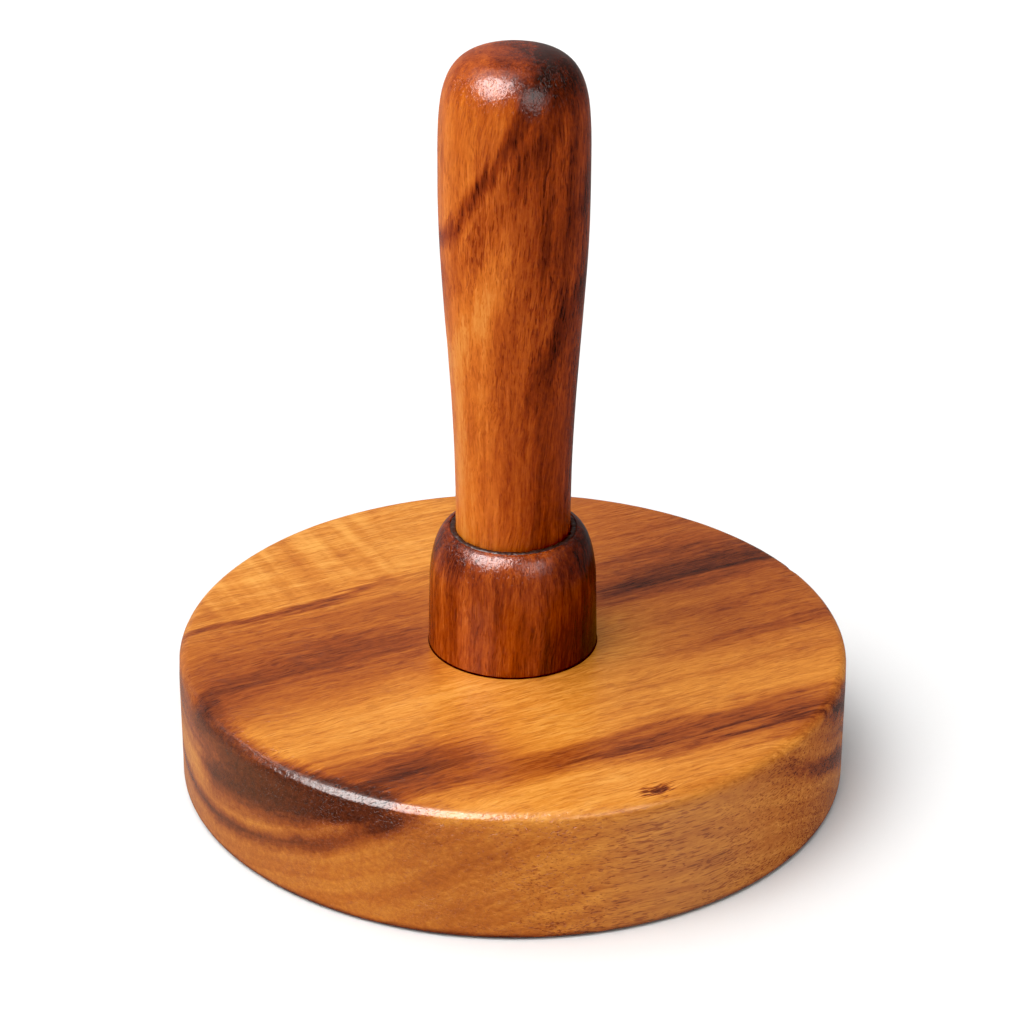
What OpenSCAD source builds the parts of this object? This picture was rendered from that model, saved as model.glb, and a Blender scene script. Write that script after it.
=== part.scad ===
// Patty press: a turned wooden disc with an upright grip, joined through a collar.
// Origin: centre of the disc's flat underside. +Z points up the grip. Millimetres.

/* [Disc] */
// Diameter of the pressing disc
disc_d = 127; // [100:1:160]
// Thickness of the pressing disc
disc_h = 26; // [22:0.5:40]
// Radius of the rounded top edge
disc_top_round = 2; // [0.5:0.1:5]
// Radius of the eased bottom edge
disc_foot_round = 1.2; // [0.3:0.1:3]

/* [Collar] */
// Diameter of the collar where it stands on the disc
collar_d = 32; // [30:0.5:44]
// Height of the collar above the disc
collar_h = 24; // [18:0.5:30]
// Height of the collar's side, up to its rounded shoulder
collar_side_h = 12.5; // [8:0.5:16]
// How much smaller the collar's side is in diameter at the shoulder than at the foot
collar_draft = 0.5; // [0:0.1:2]
// Diameter of the collar's rounded shoulder at its lip
lip_d = 24.4; // [23:0.1:26]
// Width of the lip between the shoulder and the eased mouth
lip_w = 0.2; // [0.1:0.05:0.4]
// Depth of the socket that takes the foot of the grip
socket_depth = 15; // [8:0.5:16]

/* [Grip] */
// Diameter of the foot of the grip, which is also its neck
foot_d = 21.5; // [20:0.1:22]
// Largest diameter of the grip
grip_d = 27.4; // [24:0.1:34]
// Height of the top of the grip above the underside of the disc
total_h = 143; // [125:1:170]
// Height of the thickest place above the underside of the disc
grip_widest_z = 117; // [95:1:120]
// Height above the collar's lip at which the straight foot starts to swell
neck_above_lip = 0.5; // [0:0.5:10]

/* [Fixing] */
// Outside diameter of the dowel screw's threads
screw_d = 8; // [6:1:8]
// Length of the dowel screw
screw_l = 60; // [50:1:60]
// Depth of the pilot hole in the disc
disc_hole_depth = 18; // [14:0.5:18]

/* [Glue] */
// Depth of the glue in the mouth of the collar
bead_depth = 1.6; // [0.8:0.1:2.5]
// How far the glue stops below the lip
bead_below_lip = 0.2; // [0.2:0.1:0.6]
// Height of the glue line between disc and collar
glue_line_h = 0.2; // [0.1:0.05:0.5]
// How far that line stands back from the collar's outside
glue_line_inset = 0.15; // [0.05:0.05:0.5]

/* [Hidden] */
// Points in each curved stretch of an outline
curve_steps = 24;
$fn = 96;

// Lengths of the grip curve's two control arms, as shares of the curve's height
neck_arm = 0.45;
belly_arm = 0.3;
// Exponents of the dome: a larger number makes it squarer
dome_rise = 4.6;
dome_round = 3.6;

disc_r = disc_d / 2;
collar_r = collar_d / 2;
collar_top_r = collar_r - collar_draft / 2;
collar_base_z = disc_h + glue_line_h;
collar_shoulder_z = disc_h + collar_side_h;
lip_z = disc_h + collar_h;
lip_r = lip_d / 2;
mouth_r = lip_r - lip_w;
foot_r = foot_d / 2;
grip_r = grip_d / 2;
neck_z = lip_z + neck_above_lip;
socket_z = lip_z - socket_depth;
bead_z = lip_z - bead_below_lip - bead_depth;

screw_r = screw_d / 2;
screw_core_r = screw_r * 0.7;
screw_z = disc_h - disc_hole_depth + 1;
screw_top_z = screw_z + screw_l;
screw_tip_h = 6;
thread_pitch = 3;
// The plain shank stands where the screw crosses the collar
shank_z = disc_h - 2;
shank_top_z = socket_z + 4;

// A quarter ellipse as [radius, height] points, from the side (r1, z1) up to the top (r2, z2)
function shoulder(r1, z1, r2, z2, steps) =
    [for (i = [0:steps]) let (a = 90 * i / steps) [r2 + (r1 - r2) * cos(a), z1 + (z2 - z1) * sin(a)]];

// One coordinate of a cubic curve with end values p0, p3 and control values p1, p2
function cubic(p0, p1, p2, p3, t) =
    p0 * pow(1 - t, 3) + 3 * p1 * t * pow(1 - t, 2) + 3 * p2 * pow(t, 2) * (1 - t) + p3 * pow(t, 3);

// The grip's swelling side, upright where it leaves the foot and upright at its widest
function swell() =
    let (rise = grip_widest_z - neck_z)
    [for (i = [0:curve_steps]) let (t = i / curve_steps) [
        cubic(foot_r, foot_r, grip_r, grip_r, t),
        cubic(neck_z, neck_z + neck_arm * rise, grip_widest_z - belly_arm * rise, grip_widest_z, t)
    ]];

// The grip's domed end, from its widest place to the top
function dome() =
    [for (i = [1:curve_steps]) let (u = sin(90 * i / curve_steps)) [
        grip_r * pow(1 - pow(u, dome_rise), 1 / dome_round),
        grip_widest_z + (total_h - grip_widest_z) * u
    ]];

// A blind or through hole for the screw, from z0 up to z1
module screw_hole(z0, z1) {
    translate([0, 0, z0]) cylinder(r = screw_r, h = z1 - z0);
}

// Disc with a rounded rim, a flat underside and a blind hole in the middle of its top
module press_disc() {
    color("peru") difference() {
        rotate_extrude() {
            square([disc_r - disc_top_round, disc_h]);
            square([disc_r - disc_foot_round, disc_h / 2]);
            translate([0, disc_foot_round]) square([disc_r, disc_h - disc_top_round - disc_foot_round]);
            translate([disc_r - disc_top_round, disc_h - disc_top_round]) circle(r = disc_top_round);
            translate([disc_r - disc_foot_round, disc_foot_round]) circle(r = disc_foot_round);
        }
        screw_hole(disc_h - disc_hole_depth, disc_h + 1);
    }
}

// Thin ring of set glue that the collar stands on
module base_glue_line() {
    color("black") difference() {
        translate([0, 0, disc_h]) cylinder(r = collar_r - glue_line_inset, h = glue_line_h);
        screw_hole(disc_h - 1, collar_base_z + 1);
    }
}

// Turned cup with a rounded shoulder and a socket with an eased mouth
module collar() {
    color("saddlebrown") difference() {
        rotate_extrude() polygon(concat(
            [[0, collar_base_z], [collar_r, collar_base_z]],
            shoulder(collar_top_r, collar_shoulder_z, lip_r, lip_z, curve_steps),
            [[0, lip_z]]
        ));
        translate([0, 0, socket_z]) cylinder(r = foot_r, h = socket_depth + 1);
        translate([0, 0, bead_z]) cylinder(r1 = foot_r, r2 = mouth_r, h = lip_z - bead_z);
        screw_hole(disc_h - 1, socket_z + 1);
    }
}

// Glue that fills the eased mouth around the foot of the grip
module handle_glue_bead() {
    slope = (mouth_r - foot_r) / (lip_z - bead_z);
    color("black") difference() {
        translate([0, 0, bead_z]) cylinder(r1 = foot_r, r2 = foot_r + slope * bead_depth, h = bead_depth);
        translate([0, 0, bead_z - 1]) cylinder(r = foot_r, h = bead_depth + 2);
    }
}

// Turned grip with a straight foot, a swelling side and a domed end
module handle() {
    color("chocolate") difference() {
        rotate_extrude() polygon(concat([[0, socket_z], [foot_r, socket_z]], swell(), dome()));
        screw_hole(socket_z - 1, screw_top_z + 1);
    }
}

// Double-ended wood screw: pointed at both ends, with a plain shank through the collar
module dowel_screw() {
    color("silver") union() {
        screw_end(screw_z, shank_z);
        translate([0, 0, shank_z]) cylinder(r = screw_core_r, h = shank_top_z - shank_z);
        mirror([0, 0, 1]) screw_end(-screw_top_z, -shank_top_z);
    }
}

// A threaded end with its point at z0 and its root at z1, the thread drawn as a row of ridges
module screw_end(z0, z1) {
    translate([0, 0, z0]) cylinder(r1 = 0.5, r2 = screw_core_r, h = screw_tip_h);
    translate([0, 0, z0 + screw_tip_h]) cylinder(r = screw_core_r, h = z1 - z0 - screw_tip_h);
    for (z = [z0 + screw_tip_h : thread_pitch : z1 - thread_pitch])
        translate([0, 0, z]) {
            cylinder(r1 = screw_core_r, r2 = screw_r, h = thread_pitch / 3);
            translate([0, 0, thread_pitch / 3]) cylinder(r1 = screw_r, r2 = screw_core_r, h = thread_pitch / 3);
        }
}

press_disc();
base_glue_line();
collar();
handle_glue_bead();
handle();
dowel_screw();
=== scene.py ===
"""Patty press in varnished acacia: turned disc, collar and grip, on a pale floor in soft light."""

import math

import bmesh
import bpy
from mathutils import Matrix, Vector, noise

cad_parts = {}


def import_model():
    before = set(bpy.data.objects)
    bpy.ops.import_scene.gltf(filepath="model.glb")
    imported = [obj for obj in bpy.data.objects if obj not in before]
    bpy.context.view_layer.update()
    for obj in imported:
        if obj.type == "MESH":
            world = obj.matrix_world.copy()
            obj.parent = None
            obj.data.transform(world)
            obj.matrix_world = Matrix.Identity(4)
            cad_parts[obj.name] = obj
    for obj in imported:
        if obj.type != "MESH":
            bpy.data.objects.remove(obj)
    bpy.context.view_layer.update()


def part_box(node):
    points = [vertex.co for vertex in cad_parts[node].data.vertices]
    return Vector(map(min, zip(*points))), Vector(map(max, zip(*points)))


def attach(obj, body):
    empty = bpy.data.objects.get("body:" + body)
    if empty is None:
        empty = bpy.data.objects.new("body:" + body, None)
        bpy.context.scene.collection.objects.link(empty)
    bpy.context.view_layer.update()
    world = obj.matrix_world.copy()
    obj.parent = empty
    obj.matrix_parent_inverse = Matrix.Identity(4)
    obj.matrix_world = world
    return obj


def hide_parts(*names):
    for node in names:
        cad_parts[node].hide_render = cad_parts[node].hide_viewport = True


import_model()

MM = 0.001

# ---------------------------------------------------------------- sizes taken from the frame

DISC_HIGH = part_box("press_disc")[1]
COLLAR_LOW, COLLAR_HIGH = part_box("collar")
HANDLE_LOW, HANDLE_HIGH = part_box("handle")
BEAD_LOW, BEAD_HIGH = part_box("handle_glue_bead")
SEAT_LOW, SEAT_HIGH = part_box("base_glue_line")
SCREW_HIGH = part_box("dowel_screw")[1]

DISC_R = DISC_HIGH[0]
DISC_TOP = DISC_HIGH[2]
COLLAR_R = COLLAR_HIGH[0]
COLLAR_BASE = COLLAR_LOW[2]
LIP_Z = COLLAR_HIGH[2]
SOCKET_Z = HANDLE_LOW[2]
GRIP_R = HANDLE_HIGH[0]
GRIP_TOP = HANDLE_HIGH[2]
HOLE_R = SCREW_HIGH[0]

# Sizes that the frame's boxes don't show, as in the design
DISC_TOP_ROUND = 2.0 * MM
DISC_FOOT_ROUND = 1.2 * MM
DISC_HOLE_DEPTH = 18 * MM
SCREW_END_GAP = 1 * MM
COLLAR_SIDE_H = 12.5 * MM
COLLAR_DRAFT = 0.25 * MM
LIP_R = 12.2 * MM
FOOT_R = 10.75 * MM
NECK_Z = LIP_Z + 0.5 * MM
WIDEST_Z = 117 * MM
NECK_ARM = 0.45
BELLY_ARM = 0.3
DOME_RISE = 4.6
DOME_ROUND = 3.6

# Steps along an outline: where the surface has relief, and inside the joint
FINE_STEP = 0.8 * MM
HIDDEN_STEP = 3 * MM
HOLE_STEP = 6 * MM
# Points up the grip's side and over its end
SWELL_STEPS = 90
DOME_STEPS = 64

# ---------------------------------------------------------------- outlines, as (radius, height) points


def line(start, end, step):
    """Points from start up to but not including end, about a step apart."""
    count = max(1, round(math.dist(start, end) / step))
    return [
        (start[0] + (end[0] - start[0]) * i / count, start[1] + (end[1] - start[1]) * i / count)
        for i in range(count)
    ]


def arc(centre, radii, start, end, count):
    """Points on an ellipse's arc from one angle to the other, in degrees, both included."""
    turns = [math.radians(start + (end - start) * i / count) for i in range(count + 1)]
    return [(centre[0] + radii[0] * math.cos(a), centre[1] + radii[1] * math.sin(a)) for a in turns]


def disc_outline():
    """From the middle of the underside, out and up round the rim, to the bottom of the pilot hole."""
    foot, top = DISC_FOOT_ROUND, DISC_TOP_ROUND
    hole_z = DISC_TOP - DISC_HOLE_DEPTH
    underside_step, after_round = 4 * MM, 0.5 * MM
    points = line((0, 0), (DISC_R - foot, 0), underside_step)
    points += arc((DISC_R - foot, foot), (foot, foot), -90, 0, 6)
    points += line((DISC_R, foot + FINE_STEP), (DISC_R, DISC_TOP - top), FINE_STEP)
    points += arc((DISC_R - top, DISC_TOP - top), (top, top), 0, 90, 12)
    points += line((DISC_R - top - after_round, DISC_TOP), (HOLE_R, DISC_TOP), FINE_STEP)
    points += line((HOLE_R, DISC_TOP), (HOLE_R, hole_z), HOLE_STEP)
    return points + [(HOLE_R, hole_z), (0, hole_z)]


def collar_outline():
    """A closed loop from the foot's inner edge, up over the shoulder and down the socket."""
    shoulder_z = DISC_TOP + COLLAR_SIDE_H
    shoulder_r = COLLAR_R - COLLAR_DRAFT
    ease, lip, step = 0.25 * MM, 0.35 * MM, 0.5 * MM
    points = line((HOLE_R, COLLAR_BASE), (COLLAR_R - ease, COLLAR_BASE), HIDDEN_STEP)
    points += arc((COLLAR_R - ease, COLLAR_BASE + ease), (ease, ease), -90, 0, 4)
    points += line((COLLAR_R, COLLAR_BASE + 2 * ease), (shoulder_r, shoulder_z), step)
    points += arc((LIP_R - lip, shoulder_z), (shoulder_r - LIP_R + lip, LIP_Z - shoulder_z), 0, 86, 30)
    points += [(LIP_R - 0.5 * lip, LIP_Z), (LIP_R - lip, LIP_Z - 0.1 * MM)]
    points += line((LIP_R - 1.3 * lip, LIP_Z - 0.35 * MM), (FOOT_R, BEAD_LOW[2]), step)
    points += line((FOOT_R, BEAD_LOW[2]), (FOOT_R, SOCKET_Z), 2 * MM)
    points += line((FOOT_R, SOCKET_Z), (HOLE_R, SOCKET_Z), HIDDEN_STEP)
    return points + [(HOLE_R, SOCKET_Z)]


def cubic(a, b, c, d, t):
    """One coordinate of a cubic curve."""
    return a * (1 - t) ** 3 + 3 * b * t * (1 - t) ** 2 + 3 * c * t * t * (1 - t) + d * t**3


def swell(steps):
    """The grip's side, upright where it leaves the collar and upright at its widest."""
    rise = WIDEST_Z - NECK_Z
    points = []
    for i in range(steps):
        t = i / steps
        radius = cubic(FOOT_R, FOOT_R, GRIP_R, GRIP_R, t)
        height = cubic(NECK_Z, NECK_Z + NECK_ARM * rise, WIDEST_Z - BELLY_ARM * rise, WIDEST_Z, t)
        points.append((radius, height))
    return points


def dome_end(steps):
    """The grip's rounded end, from its widest place to its top, with finer steps at the top."""
    crowding = 1.6
    points = []
    for i in range(steps):
        t = 1 - (1 - i / steps) ** crowding
        side = math.cos(math.pi / 2 * t)
        radius = GRIP_R * side ** (2 / DOME_ROUND)
        height = (1 - side**2) ** (1 / DOME_RISE)
        points.append((radius, WIDEST_Z + (GRIP_TOP - WIDEST_Z) * height))
    return points + [(0, GRIP_TOP)]


def handle_outline():
    """From the top of the screw hole, down it, out under the foot and up the grip to its top."""
    hole_z = SCREW_HIGH[2] + SCREW_END_GAP
    points = [(0, hole_z)] + line((HOLE_R, hole_z), (HOLE_R, SOCKET_Z), HOLE_STEP)
    points += line((HOLE_R, SOCKET_Z), (FOOT_R, SOCKET_Z), HIDDEN_STEP)
    points += line((FOOT_R, SOCKET_Z), (FOOT_R, NECK_Z), 0.7 * MM)
    return points + swell(SWELL_STEPS) + dome_end(DOME_STEPS)


def bead_outline():
    """A closed loop: the glue in the collar's mouth, a little crowned."""
    low, high, out_r = BEAD_LOW[2], BEAD_HIGH[2], BEAD_HIGH[0]
    mid = (FOOT_R + out_r) / 2
    crown, overlap, step = 0.25 * MM, 0.05 * MM, 0.25 * MM
    return (
        [(FOOT_R - overlap, low), (FOOT_R + 0.08 * MM, low)]
        + line((FOOT_R + 0.1 * MM, low + 0.1 * MM), (out_r, high), step)
        + arc((mid, high), (out_r - mid, crown), 0, 180, 10)
        + [(FOOT_R - overlap, high)]
    )


def seat_outline():
    """A closed loop: the glue line under the collar, and the small fillet squeezed out round its foot."""
    low, high, out_r = SEAT_LOW[2], SEAT_HIGH[2], SEAT_HIGH[0]
    fillet = [(0.28 * MM, 0.0), (0.21 * MM, 0.06 * MM), (0.1 * MM, 0.15 * MM)]
    return [(HOLE_R, low)] + [(out_r + out, low + up) for out, up in fillet] + [(out_r, high), (HOLE_R, high)]


# ---------------------------------------------------------------- turned meshes

SHARP_ANGLE = math.radians(42)


def outward(outline, i, closed):
    """The outline's normal at point i, as a vector in the XZ plane."""
    count = len(outline)
    before = outline[(i - 1) % count] if closed or i else outline[i]
    after = outline[(i + 1) % count] if closed or i < count - 1 else outline[i]
    return Vector((after[1] - before[1], 0, before[0] - after[0])).normalized()


def join_rings(bm, low, high, segments):
    """Faces between two rings. A ring of one vertex is a point on the axis."""
    for k in range(segments):
        m = (k + 1) % segments
        if len(low) == 1:
            bm.faces.new((low[0], high[m], high[k]))
        elif len(high) == 1:
            bm.faces.new((low[k], low[m], high[0]))
        else:
            bm.faces.new((low[k], low[m], high[m], high[k]))


def turned(name, outline, segments, relief=None, closed=False):
    """A solid of revolution. relief moves a point outwards along the outline's normal, in metres."""
    bm = bmesh.new()
    rings = []
    for i, (radius, height) in enumerate(outline):
        out = outward(outline, i, closed)
        if radius == 0:
            rings.append([bm.verts.new((0, 0, height))])
            continue
        ring = []
        for k in range(segments):
            a = 2 * math.pi * k / segments
            turn = Vector((math.cos(a), math.sin(a), 0))
            place = turn * radius + Vector((0, 0, height))
            if relief:
                normal = turn * out.x + Vector((0, 0, out.z))
                place += normal * relief(place, normal)
            ring.append(bm.verts.new(place))
        rings.append(ring)
    pairs = list(zip(rings, rings[1:]))
    if closed:
        pairs.append((rings[-1], rings[0]))
    for low, high in pairs:
        join_rings(bm, low, high, segments)
    bmesh.ops.recalc_face_normals(bm, faces=bm.faces)
    mesh = bpy.data.meshes.new(name)
    bm.to_mesh(mesh)
    bm.free()
    mesh.shade_smooth()
    mesh.set_sharp_from_angle(angle=SHARP_ANGLE)
    piece = bpy.data.objects.new(name, mesh)
    bpy.context.collection.objects.link(piece)
    return piece


# ---------------------------------------------------------------- relief of the hand-finished surfaces

GRAIN_TURN = math.radians(27)
# The knot's place along and across the disc's grain, in millimetres, and in the frame
KNOT_U, KNOT_V = -2.3, -60.3
KNOT = Vector((
    (KNOT_U * math.cos(GRAIN_TURN) - KNOT_V * math.sin(GRAIN_TURN)) * MM,
    (KNOT_U * math.sin(GRAIN_TURN) + KNOT_V * math.cos(GRAIN_TURN)) * MM,
    DISC_TOP,
))
# Where the rim is rounded most, in degrees from the front, and how far that reaches to each side
WORN_RIM, WORN_HALF = -32, 54


def waves(place, size, seed):
    """Smooth noise from -1 to 1, with lumps about size across."""
    return noise.noise(place / size + Vector((seed * 7.3, seed * 3.1, seed * 5.7)))


def dents(place, size, seed):
    """Smooth noise from 0 to 1, for relief that only goes inwards."""
    return 0.5 + 0.5 * waves(place, size, seed)


def bump_at(place, centre, size):
    """1 at the centre, falling smoothly to 0 at size from it."""
    d = (place - centre).length / size
    return max(0.0, 1 - d * d) ** 2


def rim_point(degrees, below_top):
    """A point on the disc's rim. 0 degrees is the front and positive turns to the right."""
    a = math.radians(degrees)
    return Vector((DISC_R * math.sin(a), -DISC_R * math.cos(a), DISC_TOP - below_top))


# Nicks in the rim: place, size and depth
RIM_NICKS = [
    (rim_point(-68, 1.2 * MM), 2.6 * MM, 0.35 * MM),
    (rim_point(-63, 0.4 * MM), 1.5 * MM, 0.25 * MM),
    (rim_point(-58, 1.5 * MM), 1.2 * MM, 0.2 * MM),
    (rim_point(-41, 1.0 * MM), 1.0 * MM, 0.15 * MM),
    (rim_point(34, 0.6 * MM), 1.4 * MM, 0.15 * MM),
    (rim_point(118, 0.8 * MM), 2.0 * MM, 0.25 * MM),
    (rim_point(171, 1.1 * MM), 1.6 * MM, 0.2 * MM),
]


def disc_relief(place, normal):
    """Hand-sanded unevenness, a rim that is eased more in some places, nicks and a sunk knot."""
    radius = math.hypot(place.x, place.y)
    under_collar = radius < COLLAR_R + 2 * MM
    on_underside = place.z < DISC_FOOT_ROUND * 0.5
    if under_collar or on_underside:
        return 0.0
    rim_reach = 5 * MM
    from_rim = (Vector((radius, place.z)) - Vector((DISC_R, DISC_TOP))).length
    edge = min(1.0, max(0.0, 1 - from_rim / rim_reach))
    from_worn = math.degrees(math.atan2(place.x, -place.y)) - WORN_RIM
    worn = max(0.0, 1 - (from_worn / WORN_HALF) ** 2)
    move = 0.05 * MM * waves(place, 22 * MM, 1)
    move -= edge * (0.12 + 0.85 * worn) * MM
    move -= edge * 0.1 * MM * dents(place, 30 * MM, 2)
    move -= edge * (0.05 + 0.06 * worn) * MM * dents(place, 3.0 * MM, 3)
    for centre, size, depth in RIM_NICKS:
        move -= depth * bump_at(place, centre, size)
    return move - 0.3 * MM * bump_at(place, KNOT, 2.2 * MM)


def handle_relief(place, normal):
    """The grip was finished by hand, so it isn't quite round."""
    if place.z < LIP_Z + 1 * MM:
        return 0.0
    fade = min(1.0, (place.z - LIP_Z) / (12 * MM))
    return fade * (0.12 * MM * waves(place, 26 * MM, 4) + 0.03 * MM * waves(place, 6 * MM, 5))


def collar_relief(place, normal):
    """Slight unevenness of the collar's side and shoulder."""
    radius = math.hypot(place.x, place.y)
    if radius < LIP_R - 0.2 * MM or place.z < COLLAR_BASE + 0.2 * MM:
        return 0.0
    return 0.06 * MM * waves(place, 12 * MM, 6) + 0.03 * MM * waves(place, 2.5 * MM, 7)


def bead_relief(place, normal):
    """Set glue with ropy lumps and small blisters on its upper side."""
    if normal.z < 0.1:
        return 0.0
    return 0.16 * MM * waves(place, 1.1 * MM, 8) + 0.08 * MM * waves(place, 0.5 * MM, 9)


# ---------------------------------------------------------------- nodes for the materials


class Nodes:
    """Short calls that add nodes to one material. A value is a number, a tuple or another node's output."""

    def __init__(self, name):
        self.material = bpy.data.materials.new(name)
        self.material.use_nodes = True
        self.tree = self.material.node_tree
        self.tree.nodes.clear()
        output = self.tree.nodes.new("ShaderNodeOutputMaterial")
        self.shader = self.tree.nodes.new("ShaderNodeBsdfPrincipled")
        self.tree.links.new(self.shader.outputs[0], output.inputs["Surface"])

    def put(self, socket, value):
        if isinstance(value, bpy.types.NodeSocket):
            self.tree.links.new(value, socket)
        else:
            socket.default_value = value

    def set(self, name, value):
        """Gives one of the shader's inputs its value."""
        self.put(self.shader.inputs[name], value)

    def add(self, kind, values=(), **settings):
        node = self.tree.nodes.new("ShaderNode" + kind)
        for key, value in settings.items():
            setattr(node, key, value)
        for key, value in dict(values).items():
            self.put(node.inputs[key], value)
        return node

    def millimetres(self):
        """The place on the object in millimetres."""
        return self.stretch(self.add("TexCoord").outputs["Object"], (1000, 1000, 1000))

    def math(self, operation, a, b=0.0, c=0.0):
        return self.add("Math", {0: a, 1: b, 2: c}, operation=operation).outputs[0]

    def times(self, first, *more):
        """The product of all the values."""
        for value in more:
            first = self.math("MULTIPLY", first, value)
        return first

    def plus(self, a, b):
        return self.math("ADD", a, b)

    def minus(self, a, b):
        return self.math("SUBTRACT", a, b)

    def smooth(self, value, low, high, out_low=0.0, out_high=1.0):
        """A smooth step from out_low to out_high as value goes from low to high."""
        node = self.add(
            "MapRange",
            {"Value": value, "From Min": low, "From Max": high, "To Min": out_low, "To Max": out_high},
            interpolation_type="SMOOTHSTEP",
        )
        return node.outputs[0]

    def hill(self, value, centre, width):
        """1 where value is at the centre, falling smoothly to 0 at width from it."""
        away = self.math("ABSOLUTE", self.minus(value, centre))
        return self.smooth(away, 0.0, width, 1.0, 0.0)

    def dot(self, vector, axis):
        node = self.add("VectorMath", {0: vector, 1: axis}, operation="DOT_PRODUCT")
        return node.outputs["Value"]

    def join(self, x, y, z):
        return self.add("CombineXYZ", {0: x, 1: y, 2: z}).outputs[0]

    def stretch(self, vector, scale):
        node = self.add("VectorMath", {0: vector, 1: scale}, operation="MULTIPLY")
        return node.outputs[0]

    def noise(self, vector, scale=1.0, detail=2.0, rough=0.5, distortion=0.0):
        values = {"Vector": vector, "Scale": scale, "Detail": detail, "Roughness": rough}
        values["Distortion"] = distortion
        return self.add("TexNoise", values).outputs[0]

    def swing(self, value, amount):
        """A noise value from 0 to 1 turned into plus or minus amount."""
        return self.math("MULTIPLY_ADD", value, 2 * amount, -amount)

    def mix(self, factor, a, b):
        """Colour a, turned into colour b as the factor goes from 0 to 1."""
        node = self.add("Mix", data_type="RGBA", blend_type="MIX")
        for socket, value in zip((node.inputs[0], node.inputs[6], node.inputs[7]), (factor, a, b)):
            self.put(socket, value)
        return node.outputs[2]

    def ramp(self, value, stops):
        node = self.add("ValToRGB", {0: value})
        elements = node.color_ramp.elements
        while len(elements) < len(stops):
            elements.new(0.5)
        for element, (place, colour) in zip(elements, stops):
            element.position = place
            element.color = colour
        return node.outputs[0]

    def bump(self, height, strength, distance):
        return self.add("Bump", {"Height": height, "Strength": strength, "Distance": distance}).outputs[0]


def rgb(red, green, blue):
    """A colour from 0 to 255 screen values, as the linear colour that shaders use."""

    def linear(value):
        value /= 255
        return value / 12.92 if value <= 0.04045 else ((value + 0.055) / 1.055) ** 2.4

    return (linear(red), linear(green), linear(blue), 1.0)


def grain_axes(along, across):
    """Three unit vectors: along the grain, across it, and the third at right angles to both."""
    u = Vector(along).normalized()
    w = u.cross(Vector(across)).normalized()
    return tuple(u), tuple(w.cross(u)), tuple(w)


# ---------------------------------------------------------------- what all the woods share

# The clear coat
COAT_WEIGHT = 0.6
COAT_ROUGHNESS = 0.2
COAT_IOR = 1.5
# Each new noise is taken this far from the last one
SEED_STEP = 5.0
# Width of the soft edge between wood and an open pore, in noise values
PORE_EDGE = 0.07
# Half the length over which a streak fades out along the grain, in millimetres
STREAK_FADE = 14.0
# Painted sheen: the pale grey that the side's colour is mixed towards, standing in for reflection in the
# varnish
PAINTED_SHEEN_GREY = rgb(176, 132, 96)


class Wood(Nodes):
    """Nodes for one wood: grain coordinates in millimetres and a tone from 0, dark, to 1, pale."""

    def __init__(self, name, along, across, seed):
        super().__init__(name)
        self.place = self.millimetres()
        axes = grain_axes(along, across)
        self.u, self.v, self.w = [self.dot(self.place, axis) for axis in axes]
        self.seed = seed
        self.tone = 0.5

    def grain_noise(self, along, across, detail=2.0, rough=0.5, distortion=0.0, v=None):
        """Noise stretched along the grain. The scales are in lumps per millimetre."""
        v = self.v if v is None else v
        self.seed += SEED_STEP
        parts = [self.times(self.u, along), self.times(v, across)]
        parts.append(self.math("MULTIPLY_ADD", self.w, across, self.seed))
        return self.noise(self.join(*parts), 1.0, detail, rough, distortion)

    def lighten(self, *factors):
        """Adds the product of the factors to the tone. A negative product darkens."""
        self.tone = self.plus(self.tone, self.times(*factors))

    def texture(self, feather_amount, fine_amount, curl_amount, pore_amount, pore_level, fine_share=1.0):
        """Adds feathery streaks, fibres, wavy fibres and pores. Returns their relief and the fibres."""
        wander = self.grain_noise(0.08, 0.15, 2)
        v = self.plus(self.v, self.swing(wander, 1.4))
        feather = self.grain_noise(0.09, 1.2, 4, 0.7, v=v)
        fine = self.grain_noise(0.33, 3.2, 2, 0.6, 0.2, v=v)
        curl = self.grain_noise(0.8, 1.5, 3, 0.65, 1.0, v=v)
        cells = self.grain_noise(0.34, 3.6, 1, 0.5, v=v)
        patches = self.grain_noise(0.07, 0.12, 2)
        density = self.math("MULTIPLY_ADD", patches, 0.3, cells)
        pores = self.smooth(density, pore_level, pore_level + PORE_EDGE)
        self.lighten(self.swing(feather, feather_amount))
        self.lighten(self.swing(fine, fine_amount), fine_share)
        self.lighten(self.swing(curl, curl_amount))
        self.lighten(pores, pore_amount, -1.0)
        fibres = self.plus(self.times(fine, 0.6), self.times(curl, 0.6))
        return self.minus(fibres, pores), fine

    def varnish(self, colours, relief, fine, sheen_mask=None):
        """Sets the shader: toned wood under a clear coat that follows the pores a little."""
        colour = self.ramp(self.tone, colours)
        # Painted sheen: where the sheen mask is above 0 the colour is mixed towards a pale grey that stands
        # in for reflection in the varnish
        if sheen_mask is not None:
            colour = self.mix(sheen_mask, colour, PAINTED_SHEEN_GREY)
        self.set("Base Color", colour)
        self.set("Roughness", self.smooth(fine, 0.2, 0.8, 0.62, 0.45))
        self.set("Normal", self.bump(relief, 0.7, 0.1 * MM))
        skin = self.noise(self.place, 1.0, 3, 0.55)
        surface = self.math("MULTIPLY_ADD", relief, 0.4, skin)
        self.set("Coat Normal", self.bump(surface, 0.8, 0.12 * MM))
        self.set("Specular IOR Level", 0.0)
        self.set("Coat Weight", COAT_WEIGHT)
        self.set("Coat Roughness", COAT_ROUGHNESS)
        self.set("Coat IOR", COAT_IOR)
        return self.material


# ---------------------------------------------------------------- the disc's board

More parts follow.
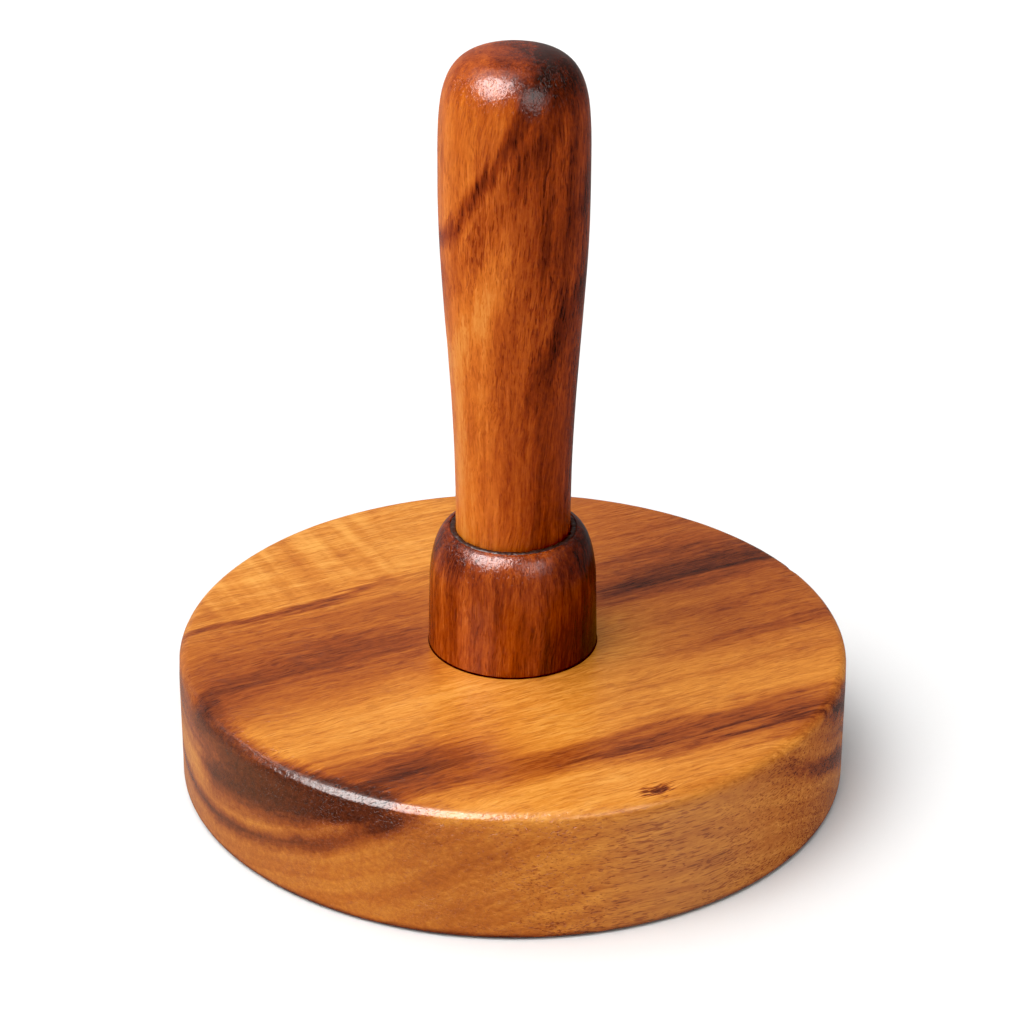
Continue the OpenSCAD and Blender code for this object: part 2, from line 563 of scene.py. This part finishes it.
# Wood colours from the darkest heartwood to the palest sapwood, as places on a scale from 0 to 1
DISC_COLOURS = [
    (0.0, rgb(48, 20, 10)),
    (0.2, rgb(98, 42, 18)),
    (0.4, rgb(144, 68, 26)),
    (0.6, rgb(180, 100, 36)),
    (0.8, rgb(210, 132, 50)),
    (1.0, rgb(232, 162, 76)),
]

# Height of the trunk's heart above the underside, so that the growth rings hang as arcs in the board
HEART_Z = 78.0

# The dark streaks of the disc: place across the grain on the top face, drift of that place along the
# grain, half width, start and end along the grain, all in millimetres, and strength
DISC_STREAKS = [
    (31, 0.03, 2.6, -62, -6, 0.36),
    (20, 0.0, 16, -90, 0, 0.28),
    (9, 0.04, 12, -90, -8, 0.36),
    (10, 0.0, 12, 14, 100, 0.3),
    (8, 0.0, 2.4, 24, 66, 0.24),
    (-5, 0.0, 3, 24, 100, 0.1),
    (-20, 0.0, 3, 24, 100, 0.1),
    (-35, 0.0, 14, -90, -24, 0.54),
    (-44, -0.05, 9, -26, 90, 0.4),
    (-46, -0.04, 1.4, -14, 60, 0.2),
    (-49, 0.0, 4.5, -90, -48, 0.32),
    (48, 0.0, 4.5, -90, -54, 0.28),
    (-61, 0.0, 4, 26, 100, 0.34),
    (-55, 0.0, 2.5, 38, 100, 0.22),
]


class DiscWood(Wood):
    """Flat-sawn board. u runs along the grain, v across it and w is the height, in millimetres."""

    def __init__(self):
        super().__init__("disc_acacia", (math.cos(GRAIN_TURN), math.sin(GRAIN_TURN), 0), (0, 0, 1), 4.0)
        self.v, self.w = self.times(self.w, -1.0), self.v
        drift = self.grain_noise(0.012, 0.035, 2)
        small = self.grain_noise(0.05, 0.16, 3)
        # The place across the grain, bent as the tree grew
        self.bent = self.plus(self.v, self.plus(self.swing(drift, 5.0), self.swing(small, 3.0)))
        depth = self.minus(HEART_Z, self.w)
        # The square of the distance from the heart, which is the same all along a growth ring
        self.ring = self.math("MULTIPLY_ADD", self.bent, self.bent, self.times(depth, depth))
        self.ragged = self.grain_noise(0.035, 0.45, 3, 0.6)
        # 0 on the top face and 1 on the side
        self.side = self.smooth(self.w, 25.2, 22.0)
        self.reach = self.ring_at_top()

    def ring_at_top(self):
        """Where this growth ring comes to the top face, as a ragged place across the grain."""
        face_depth = HEART_Z - DISC_TOP / MM
        above = self.math("MAXIMUM", self.minus(self.ring, face_depth**2), 0.0)
        raggedness = self.math("MULTIPLY_ADD", self.side, -0.65, 1.0)
        return self.math("MULTIPLY_ADD", self.swing(self.ragged, 6.0), raggedness, self.math("SQRT", above))

    def streak(self, centre, slope, width, start, end, strength):
        """Darkens a sheet that follows a growth ring on one side of the heart, and fades at its ends."""
        sign = math.copysign(1.0, centre)
        off = self.minus(self.reach, self.math("MULTIPLY_ADD", self.u, sign * slope, abs(centre)))
        one_side = self.smooth(self.bent, -4.0 * sign, 4.0 * sign)
        first = self.smooth(self.u, start - STREAK_FADE, start + STREAK_FADE)
        last = self.smooth(self.u, end - STREAK_FADE, end + STREAK_FADE, 1.0, 0.0)
        body = self.times(self.hill(off, 0.0, width), one_side)
        self.lighten(body, self.times(first, last), -strength)

    def top_tones(self):
        """Soft tones of the top face: a darker back right that is partly wood and partly painted shadow of
        the grip, a band at the left, a browner front right.
        """
        # Darker back right: partly darker wood, partly painted shadow of the grip
        self.lighten(self.smooth(self.u, 0.0, 45.0), self.smooth(self.bent, -34.0, -14.0), -0.33)
        band = self.times(self.hill(self.bent, -1.0, 12.0), self.smooth(self.u, -6.0, -22.0))
        self.lighten(band, self.smooth(self.w, 20.0, 25.0), -0.25)
        front_right = self.times(self.smooth(self.u, -8.0, 8.0), self.smooth(self.bent, -18.0, -30.0))
        self.lighten(front_right, self.minus(1.0, self.side), -0.08)

    def side_tones(self):
        """The side is browner left of its front and at its left end, with painted shade towards the right and
        at its foot.
        """
        # Painted shade: darker towards the right end, away from the key light
        self.lighten(self.smooth(self.u, 10.0, 45.0), self.side, -0.07)
        self.lighten(self.hill(self.u, -37.0, 18.0), self.side, -0.12)
        self.lighten(self.smooth(self.u, -48.0, -60.0), self.side, -0.08)
        # Painted shade: darker at the foot, next to the floor
        self.lighten(self.smooth(self.w, 0.2, 1.8, -0.5, 0.0))

    def growth_rings(self):
        """Faint rings all through the board."""
        along = self.times(self.u, 0.006)
        from_heart = self.times(self.math("SQRT", self.ring), 0.3)
        self.lighten(self.swing(self.noise(self.join(along, from_heart, 3.0), 1.0, 4, 0.65), 0.3))

    def heart_lens(self):
        """A dark lens of heartwood under the rim at the left, and paler wood below it."""
        sag = self.plus(self.swing(self.ragged, 1.5), self.w)
        under = self.times(self.smooth(sag, 17.0, 23.5), self.smooth(self.w, 25.0, 26.0, 1.0, 0.0))
        lens = self.times(self.smooth(self.bent, 10.0, -14.0), self.smooth(self.bent, -54.0, -36.0))
        self.lighten(under, self.times(lens, self.smooth(self.u, -34.0, -47.0)), -0.55)
        below = self.times(self.hill(self.w, 12.5, 6.0), self.smooth(self.bent, -30.0, -16.0))
        self.lighten(below, self.smooth(self.u, -40.0, -55.0), 0.22)

    def ripples(self):
        """Pale ripples across the grain at the back left."""
        where = self.times(self.smooth(self.bent, 26.0, 42.0), self.smooth(self.u, 12.0, -12.0))
        self.lighten(self.swing(self.grain_noise(0.28, 0.03, 2), 0.3), where)

    def fibres_and_pores(self):
        """The end grain at the left was sanded smoother, so its pores and fibres show less."""
        left_end = self.times(self.side, self.smooth(self.u, -10.0, -45.0))
        on_side = self.math("MULTIPLY_ADD", self.side, 0.18, 0.1)
        pores = self.math("MULTIPLY_ADD", left_end, -0.22, on_side)
        fine_share = self.math("MULTIPLY_ADD", left_end, -0.55, 1.0)
        return self.texture(0.24, 0.17, 0.06, pores, 0.74, fine_share)

    def knot(self, fine):
        """A small knot near the front edge, drawn out along the grain."""
        along = self.times(self.minus(self.u, KNOT_U), 0.45)
        across = self.minus(self.v, KNOT_V)
        away = self.math("SQRT", self.math("MULTIPLY_ADD", along, along, self.times(across, across)))
        dark = self.smooth(self.plus(away, self.swing(fine, 2.2)), 1.9, 0.5)
        self.lighten(dark, self.smooth(self.w, 24.0, 25.0), -0.6)

    def painted_sheen(self):
        """Painted sheen: the side is mixed a little towards grey at its front right and at its left end,
        standing in for reflection in the varnish.
        """
        left_end = self.smooth(self.u, -52.0, -64.0, 0.0, 0.12)
        both = self.math("MULTIPLY_ADD", self.hill(self.u, 4.0, 30.0), 0.26, left_end)
        return self.times(both, self.side)


def disc_wood():
    """Long streaks on the top that turn into arcs on the end-grain sides."""
    n = DiscWood()
    n.tone = n.math("MULTIPLY_ADD", n.side, -0.14, 0.83)
    for streak in DISC_STREAKS:
        n.streak(*streak)
    n.top_tones()
    n.side_tones()
    n.growth_rings()
    n.heart_lens()
    n.tone = n.math("SMOOTH_MAX", n.tone, 0.12, 0.16)
    n.ripples()
    relief, fine = n.fibres_and_pores()
    n.knot(fine)
    return n.varnish(DISC_COLOURS, relief, fine, n.painted_sheen())


# ---------------------------------------------------------------- the upright woods

HANDLE_COLOURS = [
    (0.0, rgb(36, 9, 2)),
    (0.2, rgb(96, 31, 6)),
    (0.4, rgb(146, 56, 11)),
    (0.6, rgb(186, 86, 22)),
    (0.8, rgb(216, 116, 36)),
    (1.0, rgb(230, 146, 62)),
]
COLLAR_COLOURS = [
    (0.0, rgb(34, 9, 4)),
    (0.3, rgb(88, 27, 8)),
    (0.6, rgb(144, 58, 16)),
    (0.8, rgb(182, 86, 26)),
    (1.0, rgb(206, 116, 46)),
]
# How steeply the grip's bands rise to the right, in millimetres of height per millimetre
BAND_SLOPE = 1.8


def handle_bands(n, x):
    """Dark and pale bands that rise to the right, each with its height on the axis and its half width."""
    ragged = n.grain_noise(0.06, 0.5, 3, 0.6)
    slant = n.minus(n.dot(n.place, (0, 0, 1)), n.times(x, BAND_SLOPE))
    slant = n.plus(slant, n.swing(ragged, 4.0))
    upper = n.smooth(n.u, 70.0, 84.0)
    left = n.smooth(x, 4.0, -2.0)
    for centre, width, strength, where in [
        (132, 4.5, -0.36, upper),
        (123, 9.0, -0.16, upper),
        (108, 9.0, 0.14, left),
        (96, 7.0, -0.1, n.smooth(x, 2.0, 6.0)),
        (78, 8.0, -0.14, n.smooth(x, 0.0, 5.0)),
    ]:
        n.lighten(n.hill(slant, centre, width), strength, where)


def handle_wood():
    """Upright grain crossed by slanting bands, with painted shade down the right side, and darker on the
    domed end.
    """
    n = Wood("handle_acacia", (0.06, 0.03, 1.0), (1, 0, 0), 9.0)
    drift = n.noise(n.stretch(n.place, (0.05, 0.05, 0.03)), 1.0, 2)
    x = n.plus(n.dot(n.place, (1, 0, 0)), n.swing(drift, 3.0))
    # Painted shade: paler at the left and darker towards the right, away from the key light
    n.tone = n.smooth(x, -11.0, 9.0, 0.76, 0.36)
    handle_bands(n, x)
    # The foot is paler at the left
    n.lighten(n.smooth(n.u, 96.0, 70.0), n.smooth(x, 0.0, -7.0), 0.1)
    n.lighten(n.swing(n.grain_noise(0.01, 0.25, 4, 0.65), 0.36))
    n.tone = n.math("SMOOTH_MAX", n.tone, n.smooth(n.u, 124.0, 138.0, 0.14, 0.28), 0.16)
    # The domed end is end grain: darker, with hardly any open pores
    n.lighten(n.smooth(n.u, 132.0, 141.0, 0.0, -0.25))
    pores = n.times(n.smooth(n.u, 70.0, 90.0, 0.08, 0.16), n.smooth(n.u, 138.0, 124.0, 0.25, 1.0))
    relief, fine = n.texture(0.24, 0.16, 0.1, pores, 0.73)
    return n.varnish(HANDLE_COLOURS, relief, fine)


def collar_wood():
    """Dark red-brown upright grain with lighter stripes, and painted shade towards the right."""
    n = Wood("collar_acacia", (0.04, 0.06, 1.0), (1, 0, 0), 14.0)
    # Painted shade: paler at the left and darker towards the right, away from the key light
    n.tone = n.smooth(n.v, -4.0, 19.0, 0.64, 0.22)
    n.lighten(n.swing(n.grain_noise(0.02, 0.35, 4, 0.65), 0.5))
    # Painted shade: darker low on the right, next to the disc, and at both ends of the shoulder
    n.lighten(n.smooth(n.u, 40.0, 28.0), n.smooth(n.v, 1.0, 9.0), -0.16)
    n.lighten(n.smooth(n.u, 42.0, 46.5), n.smooth(n.math("ABSOLUTE", n.v), 6.0, 11.0), -0.22)
    relief, fine = n.texture(0.28, 0.2, 0.12, 0.12, 0.73)
    return n.varnish(COLLAR_COLOURS, relief, fine)


# ---------------------------------------------------------------- glue and steel


def set_glue(name, shine):
    """Dark dried glue, brown-black. Shine is 0 where it is a thin dusty line."""
    n = Nodes(name)
    lumps = n.noise(n.millimetres(), 1.4, 4, 0.6)
    n.set("Base Color", n.ramp(lumps, [(0.35, rgb(26, 11, 6)), (0.7, rgb(70, 32, 18))]))
    n.set("Roughness", n.smooth(lumps, 0.3, 0.7, 0.3, 0.5))
    n.set("Normal", n.bump(lumps, 0.6, 0.15 * MM))
    n.set("Specular IOR Level", shine)
    return n.material


def screw_steel():
    """Zinc-plated steel with fine turning marks."""
    n = Nodes("screw_steel")
    marks = n.noise(n.stretch(n.millimetres(), (0.6, 0.6, 9.0)), 1.0, 3, 0.6)
    n.set("Base Color", n.ramp(marks, [(0.3, rgb(150, 150, 146)), (0.7, rgb(200, 200, 196))]))
    n.set("Metallic", 1.0)
    n.set("Roughness", n.smooth(marks, 0.3, 0.7, 0.3, 0.45))
    n.set("Normal", n.bump(marks, 0.2, 0.05 * MM))
    return n.material


# ---------------------------------------------------------------- the object

# Vertices round each piece
DISC_SEGMENTS = 480
COLLAR_SEGMENTS = 240
GRIP_SEGMENTS = 200
BEAD_SEGMENTS = 480
SEAT_SEGMENTS = 240


def place_piece(piece, node, material):
    """Gives a new piece its finish and its body, and hides the CAD node that it stands for."""
    piece.data.materials.append(material)
    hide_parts(node)
    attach(piece, "root")


def build_press():
    """Three turned pieces of wood and the two places where glue shows. The screw is the frame's own."""
    disc = turned("disc_turned", disc_outline(), DISC_SEGMENTS, disc_relief)
    place_piece(disc, "press_disc", disc_wood())
    collar = turned("collar_turned", collar_outline(), COLLAR_SEGMENTS, collar_relief, closed=True)
    place_piece(collar, "collar", collar_wood())
    handle = turned("grip_turned", handle_outline(), GRIP_SEGMENTS, handle_relief)
    place_piece(handle, "handle", handle_wood())
    bead = turned("glue_bead", bead_outline(), BEAD_SEGMENTS, bead_relief, closed=True)
    place_piece(bead, "handle_glue_bead", set_glue("mouth_glue", 0.3))
    seat = turned("seat_glue", seat_outline(), SEAT_SEGMENTS, closed=True)
    place_piece(seat, "base_glue_line", set_glue("seat_glue", 0.0))
    steel = screw_steel()
    for material_slot in bpy.data.objects["dowel_screw"].material_slots:
        material_slot.material = steel


# ---------------------------------------------------------------- floor, light and camera

FLOOR_HALF = 12.0
FLOOR_DROP = 0.05 * MM
DOME_R = 11.5


def floor():
    """A wide sheet of pale paper, a hair below the disc. The varnish doesn't mirror it."""
    mesh = bpy.data.meshes.new("floor")
    half = FLOOR_HALF
    corners = [(-half, -half, 0), (half, -half, 0), (half, half, 0), (-half, half, 0)]
    mesh.from_pydata(corners, [], [(0, 1, 2, 3)])
    plane = bpy.data.objects.new("floor", mesh)
    plane.location.z = -FLOOR_DROP
    bpy.context.collection.objects.link(plane)
    n = Nodes("floor_paper")
    n.set("Base Color", (0.785, 0.781, 0.777, 1.0))
    n.set("Roughness", 0.8)
    mesh.materials.append(n.material)
    plane.visible_glossy = False


def backdrop():
    """A white dome that only the camera sees, so that low views have a plain background."""
    mesh = bpy.data.meshes.new("backdrop")
    bm = bmesh.new()
    bmesh.ops.create_uvsphere(bm, u_segments=64, v_segments=32, radius=DOME_R)
    bm.to_mesh(mesh)
    bm.free()
    dome = bpy.data.objects.new("backdrop", mesh)
    bpy.context.collection.objects.link(dome)
    n = Nodes("backdrop_white")
    n.set("Base Color", (0.0, 0.0, 0.0, 1.0))
    n.set("Specular IOR Level", 0.0)
    n.set("Emission Color", (1.0, 1.0, 1.0, 1.0))
    n.set("Emission Strength", 1.1)
    mesh.materials.append(n.material)
    dome.visible_diffuse = False
    dome.visible_glossy = False
    dome.visible_shadow = False


def world():
    """A dim room with a pale wall behind the object on its left."""
    sky = bpy.data.worlds.new("studio")
    sky.use_nodes = True
    nodes, links = sky.node_tree.nodes, sky.node_tree.links
    back = nodes["Background"]
    way = nodes.new("ShaderNodeTexCoord")
    towards = nodes.new("ShaderNodeVectorMath")
    towards.operation = "DOT_PRODUCT"
    towards.inputs[1].default_value = (-0.45, 0.9, 0.0)
    fade = nodes.new("ShaderNodeMapRange")
    fade.interpolation_type = "SMOOTHSTEP"
    fade.inputs["From Min"].default_value = 0.45
    fade.inputs["From Max"].default_value = 0.95
    fade.inputs["To Min"].default_value = 0.2
    fade.inputs["To Max"].default_value = 0.42
    links.new(way.outputs["Generated"], towards.inputs[0])
    links.new(towards.outputs["Value"], fade.inputs["Value"])
    links.new(fade.outputs[0], back.inputs["Strength"])
    back.inputs["Color"].default_value = (1.0, 1.0, 1.0, 1.0)
    bpy.context.scene.world = sky


def soft_light(name, azimuth, elevation, spread, power, gleam_only=False, gleam=True):
    """A round soft light far away. Azimuth 0 is in front of the object and positive is to its right.

    gleam_only lights only show as highlights in the varnish, and gleam=False lights don't show there.
    """
    lamp = bpy.data.lights.new(name, "SUN")
    lamp.angle = math.radians(spread)
    lamp.energy = power
    a, e = math.radians(azimuth), math.radians(elevation)
    way = Vector((math.sin(a) * math.cos(e), -math.cos(a) * math.cos(e), math.sin(e)))
    thing = bpy.data.objects.new(name, lamp)
    thing.location = way
    thing.visible_diffuse = not gleam_only
    thing.visible_glossy = gleam
    thing.rotation_euler = (-way).to_track_quat("-Z", "Y").to_euler()
    bpy.context.collection.objects.link(thing)


def camera():
    """Stands in front, about 31 degrees up, aimed past the underside's centre."""
    distance, elevation = 627.9 * MM, math.radians(31.0)
    tilt_up, turn_right, roll = math.radians(4.31), math.radians(0.02), math.radians(0.2)
    cam = bpy.data.cameras.new("camera")
    cam.lens = 113.3
    cam.sensor_width = 36
    thing = bpy.data.objects.new("camera", cam)
    place = Vector((0, -math.cos(elevation), math.sin(elevation))) * distance
    aim = Matrix.Rotation(math.pi / 2 - elevation, 4, "X")
    aim = aim @ Matrix.Rotation(turn_right, 4, "Y")
    aim = aim @ Matrix.Rotation(tilt_up, 4, "X")
    aim = aim @ Matrix.Rotation(roll, 4, "Z")
    thing.matrix_world = Matrix.Translation(place) @ aim
    bpy.context.collection.objects.link(thing)
    bpy.context.scene.camera = thing


def develop():
    """A plain view transform with slightly deeper shadows."""
    black = 0.007
    view = bpy.context.scene.view_settings
    view.view_transform = "Standard"
    view.use_curve_mapping = True
    view.curve_mapping.black_level = (black, black, black)
    view.curve_mapping.update()


camera()
floor()
world()
backdrop()
soft_light("key_left", -95, 66, 55, 2.1)
soft_light("front_left", -45, 55, 50, 1.4)
soft_light("fill_right", 80, 40, 90, 0.8, gleam=False)
soft_light("gleam_left", -48, 49, 52, 13.0, gleam_only=True)
soft_light("gleam_right", 32, 28, 36, 1.4, gleam_only=True)
develop()
build_press()
